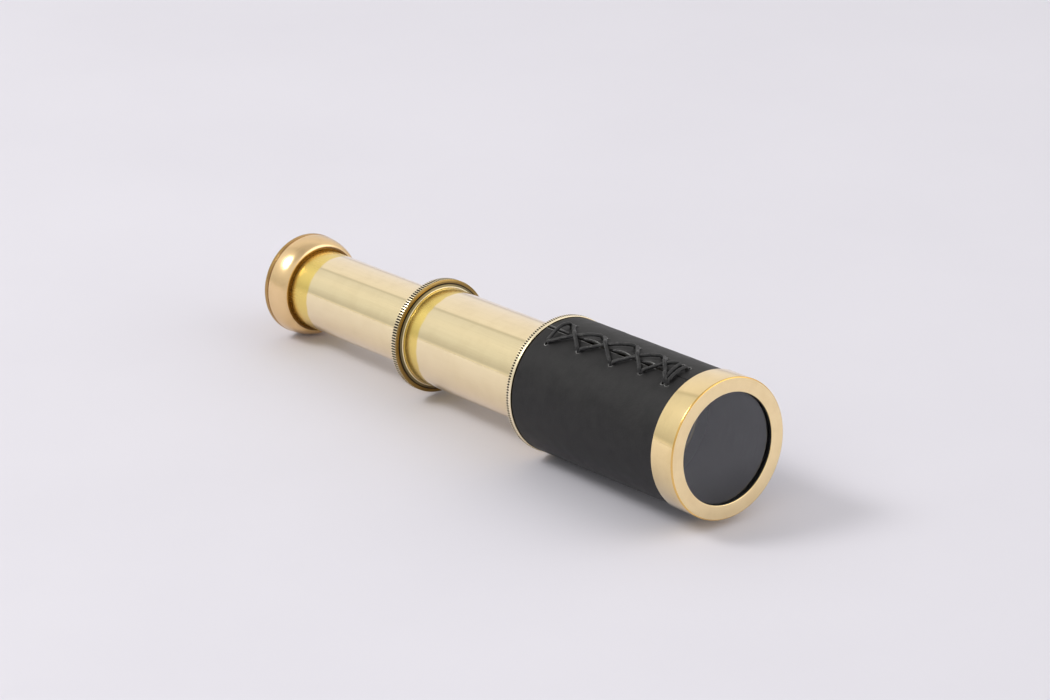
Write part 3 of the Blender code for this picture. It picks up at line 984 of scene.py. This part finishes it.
def make_leather(looks):
    """The sleeve: a strip with punched holes, wrapped round and not quite meeting at its seam."""
    front, rear, inner, outer = span("leather_sleeve")
    holes = [(station, math.radians(degrees)) for station, degrees in LACE_CORNERS]
    pins = seam_pins()
    stations, turns = leather_grid(front, rear, holes, outer)
    bm = bmesh.new()
    tops, unders = {}, {}
    for i, station in enumerate(stations):
        for j, turn in enumerate(turns):
            angle, top, under = leather_point(station, turn, (front, rear), (inner, outer), holes, pins)
            place, angle = pulled_to_hole(station, angle, holes, outer)
            tops[i, j] = bm.verts.new(local_point(place, top, angle))
            unders[i, j] = bm.verts.new(local_point(place, under, angle))
    for i in range(len(stations) - 1):
        lifted = opening((stations[i] + stations[i + 1]) / 2.0, pins) > STANDS_OPEN
        for j in range(len(turns) - 1):
            cell = [(i, j), (i + 1, j), (i + 1, j + 1), (i, j + 1)]
            middle = sum((tops[c].co for c in cell), Vector()) / 4.0 / MM
            angle = math.atan2(-middle.y, middle.z)
            away, hole = min((math.hypot(-middle.x - s, (angle - a) * outer), a) for s, a in holes)
            if away < HOLE_RADIUS * HOLE_OPEN:
                continue
            turn = (turns[j] + turns[j + 1]) / 2.0
            # open seam edges and each hole's side away from the seam get the paler edge colour: real wear and a
            # painted highlight
            at_edge = lifted and min(turn, math.tau - turn) * outer < WORN_AND_GLINT_EDGE + EDGE_ROLL
            beyond = (angle - hole) * (hole - SEAM_ANGLE) > 0.0
            at_hole = beyond and away < HOLE_RADIUS + WORN_AND_GLINT_EDGE
            bm.faces.new([tops[c] for c in cell]).material_index = int(at_edge or at_hole)
            bm.faces.new([unders[c] for c in reversed(cell)])
    twin = {tops[key]: unders[key] for key in tops}
    for edge in [e for e in bm.edges if e.is_boundary and e.verts[0] in twin]:
        a, b = edge.verts
        bm.faces.new([a, b, twin[b], twin[a]])
    loose = [vertex for vertex in bm.verts if not vertex.link_faces]
    bmesh.ops.delete(bm, geom=loose, context="VERTS")
    mesh = mesh_from(bm, "leather_sleeve_laced")
    finish = [looks["leather"], looks["leather_edge"]]
    new_piece("leather_sleeve_laced", mesh, "barrel", finish, ["leather_sleeve"])


# -------- lace


def strand_points(strand, surface):
    """Points of one visible strand, out of one hole, over the leather and into the next."""
    (s0, a0), (s1, a1) = strand
    length = math.hypot(s1 - s0, (a1 - a0) * surface)
    steps = max(int(length / LACE_STEP), LACE_LEAST_STEPS)
    rest = LACE_RADIUS + LACE_GAP
    arch = OVER_ARCH
    if is_diagonal(strand) and not goes_over(strand):
        arch = UNDER_ARCH
    if abs(s1 - s0) < BAR_SLANT and s0 > REAR_BAR:
        arch = BAR_ARCH
    points = []
    for step in range(steps + 1):
        t = step / steps
        from_end = min(t, 1.0 - t) * length
        rise = min(from_end / LACE_TUCK_REACH, 1.0)
        rise = rise * rise * (3.0 - 2.0 * rise)
        height = -LACE_TUCK + (rest + LACE_TUCK) * rise
        for top in crossings(strand):
            height += CROSSING_RISE * math.exp(-(((t - top) * length / CROSSING_WIDTH) ** 2))
        upward = t if a1 < a0 else 1.0 - t
        height += arch * 6.75 * upward * upward * (1.0 - upward)  # 6.75 makes the peak 1
        wander = noise.noise(Vector((s0 * 3.1, a0 * 9.0, t * 2.2)))
        drift = wander * LACE_DRIFT * math.sin(math.pi * t)
        station = s0 + (s1 - s0) * t + drift
        angle = a0 + (a1 - a0) * t + drift / surface
        points.append(local_point(station, surface + height, angle))
    return points


def sweep(bm, points, seed):
    """A closed, slightly flattened and uneven tube along the points."""
    side = Vector((0.0, 0.0, 1.0))
    rings = []
    for index, point in enumerate(points):
        ahead = points[min(index + 1, len(points) - 1)] - points[max(index - 1, 0)]
        ahead.normalize()
        side = (side - ahead * side.dot(ahead)).normalized()
        other = ahead.cross(side)
        ring = []
        for corner in range(LACE_SIDES):
            angle = math.tau * corner / LACE_SIDES
            cos, sin = math.cos(angle), math.sin(angle)
            arm = side * cos * LACE_WIDTHS[0] + other * sin * LACE_WIDTHS[1]
            bump = noise.noise(Vector((index * 0.24, cos * 1.5 + seed, sin * 1.5)))
            ring.append(bm.verts.new(point + arm * LACE_RADIUS * (1.0 + LACE_UNEVEN * bump) * MM))
        rings.append(ring)
    for a, b in zip(rings, rings[1:]):
        for corner in range(LACE_SIDES):
            onward = (corner + 1) % LACE_SIDES
            bm.faces.new([a[corner], a[onward], b[onward], b[corner]])
    bm.faces.new(rings[0])
    bm.faces.new(list(reversed(rings[-1])))


def make_lace(looks):
    """Crossed lacing: a bar at the rear, four crosses, and a doubled bar at the front."""
    surface = span("leather_sleeve")[3]
    bm = bmesh.new()
    for seed, strand in enumerate(lace_strands()):
        sweep(bm, strand_points(strand, surface), seed * 2.7)
    name = "leather_lace_strands"
    mesh = mesh_from(bm, name)
    new_piece(name, mesh, "barrel", [looks["lace"]], ["leather_lace"])


# -------- draws


def make_draw_collar(looks):
    """The large draw's collar: bead, cone, slot and bevel, then the knurled rim."""
    corners = cad_outline("large_draw_collar")
    spigot_front, rear, bore, radius = span("large_draw_collar")
    spigot = max(r for station, r in corners if station == spigot_front)
    socket_end = max(station for station, r in corners if r == spigot)
    socket = min(r for station, r in corners if station == socket_end and r > spigot)
    front = min(station for station, r in corners if r == socket)
    knurl_front = rear - DRAW_KNURL_WIDTH
    slot_front, slot_rear = front + SLOT_FRONT, front + SLOT_REAR
    groove = bore_groove(corners, bore, spigot)
    outline = rounded([
        (front, socket, 0.0),
        (front, socket + BEAD_HEIGHT, EASED_FILLET),
        (front + CONE_START, socket + CONE_FOOT, EASED_FILLET),
        (slot_front, socket + CONE_TOP, EASED_FILLET),
        (slot_front + SLOT_SLANT, socket + SLOT_FLOOR, GROOVE_FILLET),
        (slot_rear, socket + SLOT_FLOOR, GROOVE_FILLET),
        (slot_rear + SLOT_SLANT, socket + BEVEL_FOOT, SMALL_FILLET),
        (slot_rear + BEVEL_SLANT, radius - BEVEL_DROP, BEVEL_FILLET),
        (knurl_front - SLOT_SLANT, radius - LAND_DROP, CREST_FILLET),
        (knurl_front, radius - SLOT_SLANT, 0.0),
        *knurled_end(knurl_front, rear, radius, DRAW_REAR_FACE, bore, groove),
        (spigot_front, bore, CRISP_FILLET),
        (spigot_front, spigot, SPIGOT_FILLET),
        (socket_end, spigot, 0.0),
        (socket_end, socket, 0.0),
    ])
    cut, segments = knurl(knurl_front + LAND_DROP, rear, radius, DRAW_TEETH)
    name = "large_draw_collar_knurled"
    mesh = lathe(name, outline, segments, cut)
    finish = [looks[look] for look in ("collar", "grime", "rim", "aged", "dull")]
    piece = new_piece(name, mesh, "large_draw", finish, ["large_draw_collar"])
    bead_end, above = front + BEAD_END, socket + 0.1
    slot_end, bevel_end = slot_rear + SLOT_SLANT, knurl_front - LAND_DROP
    # painted highlight: paler brass on the knurl's crests
    paint(piece, 2, lambda s, r, out: s > knurl_front and r > radius - PAINTED_HIGHLIGHT_DEPTH)
    # painted highlight: paler brass on the bead next to the tube
    paint(piece, 2, lambda s, r, out: s < bead_end and r > socket)
    # painted reflection: dark olive on the cone
    paint(piece, 4, lambda s, r, out: bead_end < s < slot_front and r > above)
    # painted shade in the slot
    paint(piece, 1, lambda s, r, out: slot_front < s < slot_end and r > above)
    # painted reflection: dark gold on the rounded bevel
    paint(piece, 3, lambda s, r, out: slot_rear < s < bevel_end and r > socket + 0.9)
    # painted shade between the knurl's teeth
    paint_knurl(piece, 1, knurl_front, radius)


def make_cap(looks):
    """The eyepiece bell: a flared outside, a fine groove, a rounded lip and a dished face."""
    corners = cad_outline("eyepiece_cap")
    front, rear, hole, radius = span("eyepiece_cap")
    rim = sorted(station for station, r in corners if abs(r - radius) < WELD)
    recess, neck = sorted(r for station, r in corners if abs(station - front) < WELD)
    recess_end = max(station for station, r in corners if abs(r - recess) < WELD and station < rim[0])
    face_inner, face_outer = sorted(r for station, r in corners if abs(station - rear) < WELD)
    holed = sorted(station for station, r in corners if abs(r - hole) < WELD)
    socket = min(r for station, r in corners if abs(station - recess_end) < WELD)
    crest = rim[0] - CAP_RIM_SETBACK
    groove_end, groove_floor = crest + CAP_GROOVE_REAR, radius - CAP_GROOVE_DEPTH
    lip = recess - CAP_LIP
    snug = span("small_draw_tube")[3] + CAP_SNUG_GAP
    bell = []
    for step in range(BELL_STEPS + 1):
        turn = math.pi / 2.0 * step / BELL_STEPS
        station = crest - (crest - front) * math.cos(turn)
        bell.append((station, neck + (radius - BELL_DROP - neck) * math.sin(turn), 0.0))
    outline = rounded(bell + [
        (crest + CAP_GROOVE_FRONT, groove_floor, GROOVE_FILLET),
        (groove_end, groove_floor, GROOVE_FILLET),
        (groove_end + CRISP_FILLET, radius - CAP_RIM_DROP, CAP_GROOVE_FILLET),
        (rim[1] + CAP_RIM_PAST, radius, CAP_RIM_FILLET),
        (rear, face_outer, CAP_FACE_FILLET),
        (rear, face_inner, CAP_DISH_FILLET),
        (holed[-1], hole, CAP_HOLE_FILLET),
        (holed[0], hole, 0.0),
        (holed[0], socket, 0.0),
        (recess_end, socket, 0.0),
        (recess_end, recess, 0.0),
        (front + CAP_SNUG_REAR, recess, 0.0),
        (front + CAP_SNUG_REAR, snug, 0.0),
        (front + CAP_SNUG_FRONT, snug, 0.0),
        (front + CAP_LIP_WIDTH, lip, SPIGOT_FILLET),
        (front, lip, EASED_FILLET),
    ])
    name = "eyepiece_cap_turned"
    finish = [looks[look] for look in ("cap", "grime", "cap_rim", "recess")]
    piece = new_piece(name, lathe(name, outline), "small_draw", finish, ["eyepiece_cap"])
    inside, groove_back = recess + 0.01, crest + 0.20
    # painted shade down the bore behind the front recess
    paint(piece, 1, lambda s, r, out: r < inside and s < holed[0] + 0.01)
    # painted shade: dark brown in the front recess
    paint(piece, 3, lambda s, r, out: r < inside and s < front + RECESS_DEPTH)
    # painted shade: darker brass on the rear rim
    paint(piece, 2, lambda s, r, out: s > groove_back and r > radius - 0.5)
    # painted shade in the groove before the rim
    paint(piece, 1, lambda s, r, out: crest < s < groove_back and radius - 0.5 < r < radius - 0.2)


# -------- optics and inner rings


def lens_outline(node):
    """A CAD lens as true spherical surfaces: on the axis, out to the rim, and back."""
    corners = cad_outline(node)
    rim = max(radius for _, radius in corners)
    edge = sorted(station for station, radius in corners if abs(radius - rim) < WELD)
    poles = sorted(station for station, radius in corners if radius < WELD)
    outline = []
    for pole, edge_station, steps in (
        (poles[0], edge[0], range(LENS_ARC_STEPS + 1)),
        (poles[1], edge[1], range(LENS_ARC_STEPS, -1, -1)),
    ):
        depth = edge_station - pole
        curve = (rim * rim + depth * depth) / (2.0 * depth)
        for step in steps:
            radius = rim * step / LENS_ARC_STEPS
            fall = math.copysign(math.sqrt(curve * curve - radius * radius), curve)
            outline.append((pole + curve - fall, radius))
    return outline


def paint_coating(piece, node):
    """The objective's rear surface is bloomed, so it gives back almost no light."""
    if node == "objective_lens":
        front, rear, _, _ = span(node)
        middle = (front + rear) / 2.0
        paint(piece, 1, lambda s, r, out: s > middle and out < 0.9)


def make_inner_pieces(looks):
    """The rings, cells, stops, liners and lenses, each finely turned on its CAD outline."""
    kinds = {"blackened_brass": ("black", "_blacked"), "felt": ("felt", "_felted")}
    slots = {part["node"]: part["material_slot"] for part in frame["record"]["subparts"]}
    for body, nodes in frame["record"]["behaviour"]["bodies"].items():
        for node in nodes:
            slot = slots[node]
            if slot == "glass":
                name = node + "_polished"
                mesh = lathe(name, lens_outline(node), INNER_SEGMENTS * 2)
                finish = [looks["glass"], looks["coated_glass"]]
                paint_coating(new_piece(name, mesh, body, finish, [node]), node)
            elif slot in kinds:
                look, suffix = kinds[slot]
                mesh = lathe(node + suffix, softened(node, EASED_FILLET), INNER_SEGMENTS)
                new_piece(node + suffix, mesh, body, [looks[look]], [node])


# -------- studio


def make_floor():
    """A large pale floor under the object."""
    mesh = bpy.data.meshes.new("floor")
    half = FLOOR_SIZE / 2.0
    corners = [(-half, -half, 0.0), (half, -half, 0.0), (half, half, 0.0), (-half, half, 0.0)]
    mesh.from_pydata(corners, [], [(0, 1, 2, 3)])
    material, nodes, plug = new_material("studio_floor")
    point = nodes.point()
    mottle = nodes.remap(nodes.noise(point, 14.0, 4.0, 0.5), 0.35, 0.65)
    plug(
        Base_Color=nodes.mix(mottle, *FLOOR_COLOURS),
        Roughness=0.9,
        Specular_IOR_Level=0.1,
    )
    mesh.materials.append(material)
    floor = new_object("floor", mesh)
    floor.location.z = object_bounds()[0].z


def make_world():
    """A white studio: bright backdrop and near side, with a softer, dimmer band overhead."""
    world = bpy.data.worlds.new("studio")
    world.use_nodes = True
    bpy.context.scene.world = world
    nodes = Nodes(world.node_tree)
    _, y, z = nodes.split(nodes.add("TexCoord", {}, "Generated"))
    turn = nodes.math("ARCTAN2", nodes.math("MULTIPLY", y, -1.0), z)
    share = nodes.remap(turn, -math.pi, math.pi)
    ramp = nodes.tree.nodes.new("ShaderNodeValToRGB")
    nodes.feed(ramp.inputs[0], share)
    elements = ramp.color_ramp.elements
    while len(elements) > 1:
        elements.remove(elements[-1])
    for index, (angle, colour) in enumerate(STUDIO_WALLS):
        place = (angle + 180.0) / 360.0
        element = elements[0] if index == 0 else elements.new(place)
        element.position = place
        element.color = (*colour, 1.0)
    ceiling = nodes.remap(z, CEILING_FROM, CEILING_FULL, 1.0, CEILING_DIMMED, smooth=True)
    shade = nodes.combine(ceiling, ceiling, ceiling)
    dimmed = nodes.add("VectorMath", {0: ramp.outputs[0], 1: shade}, operation="MULTIPLY")
    background = nodes.tree.nodes["Background"]
    nodes.feed(background.inputs["Color"], dimmed)
    nodes.feed(background.inputs["Strength"], STUDIO_STRENGTH)


def make_softbox(name, place, size, watts, colour):
    """An area light on the object that fades out towards its edge."""
    light = bpy.data.lights.new(name, "AREA")
    light.shape = "SQUARE"
    light.size = size
    light.energy = watts
    light.color = colour
    light.use_nodes = True
    nodes = Nodes(light.node_tree)
    across = nodes.add("NewGeometry", {}, "Parametric")
    centre = (0.5, 0.5, 0.0)
    out = nodes.add("VectorMath", {0: across, 1: centre}, "Value", operation="DISTANCE")
    strength = nodes.remap(out, SOFTBOX_CORE, SOFTBOX_EDGE, SOFTBOX_PEAK, 0.0, smooth=True)
    nodes.feed(nodes.tree.nodes["Emission"].inputs["Strength"], strength)
    lamp = new_object(name, light)
    lamp.location = place
    lamp.rotation_mode = "QUATERNION"
    lamp.rotation_quaternion = (-Vector(place)).to_track_quat("-Z", "Y")


def make_camera():
    """A long lens on the objective's side, a little above, with the object in the middle."""
    camera = new_object("camera", bpy.data.cameras.new("camera"))
    camera.data.lens = CAMERA_LENS
    camera.data.sensor_width = CAMERA_SENSOR
    camera.data.clip_start, camera.data.clip_end = CAMERA_CLIP
    back = Vector((
        math.sin(CAMERA_AZIMUTH) * math.cos(CAMERA_ELEVATION),
        -math.cos(CAMERA_AZIMUTH) * math.cos(CAMERA_ELEVATION),
        math.sin(CAMERA_ELEVATION),
    ))
    camera.location = CAMERA_AIM + back * CAMERA_DISTANCE
    camera.rotation_mode = "QUATERNION"
    level = (-back).to_track_quat("-Z", "Y")
    camera.rotation_quaternion = level @ Matrix.Rotation(CAMERA_ROLL, 3, "Z").to_quaternion()
    bpy.context.scene.camera = camera
    bpy.context.scene.view_settings.view_transform = "Standard"


# -------- assembly


def make_looks():
    """Every material by the name the pieces know it by."""
    tube = span("large_draw_tube")[3]
    large_rear = min(s for s, r in cad_outline("large_draw_collar") if r > tube) - LARGE_BAND
    small_rear = span("eyepiece_cap")[0] - SMALL_BAND
    looks = {name: turned_brass(name + "_finish", *look) for name, look in TURNED_BRASS.items()}
    looks.update({
        "tube": tube_brass("barrel_tube_finish", NO_BAND),
        "large_tube": tube_brass("large_tube_finish", large_rear),
        "small_tube": tube_brass("small_tube_finish", small_rear),
        "black": blackened_brass(),
        "leather": leather(),
        "leather_edge": leather_edge(),
        "lace": lace_cord(),
        "felt": felt(),
        "grime": grime(),
        "glass": glass("glass_finish", GLASS_INDEX),
        "coated_glass": glass("coated_glass_finish", COATED_INDEX),
    })
    return looks


looks = make_looks()
make_bezel(looks)
make_tube("barrel_tube", "barrel", SMALL_FILLET, looks["tube"], looks)
make_barrel_collar(looks)
make_leather(looks)
make_lace(looks)
make_tube("large_draw_tube", "large_draw", TUBE_FILLET, looks["large_tube"], looks)
make_tube("small_draw_tube", "small_draw", TUBE_FILLET, looks["small_tube"], looks)
make_draw_collar(looks)
make_cap(looks)
make_inner_pieces(looks)
make_floor()
make_world()
for softbox, settings in SOFTBOXES.items():
    make_softbox(softbox, *settings)
make_camera()
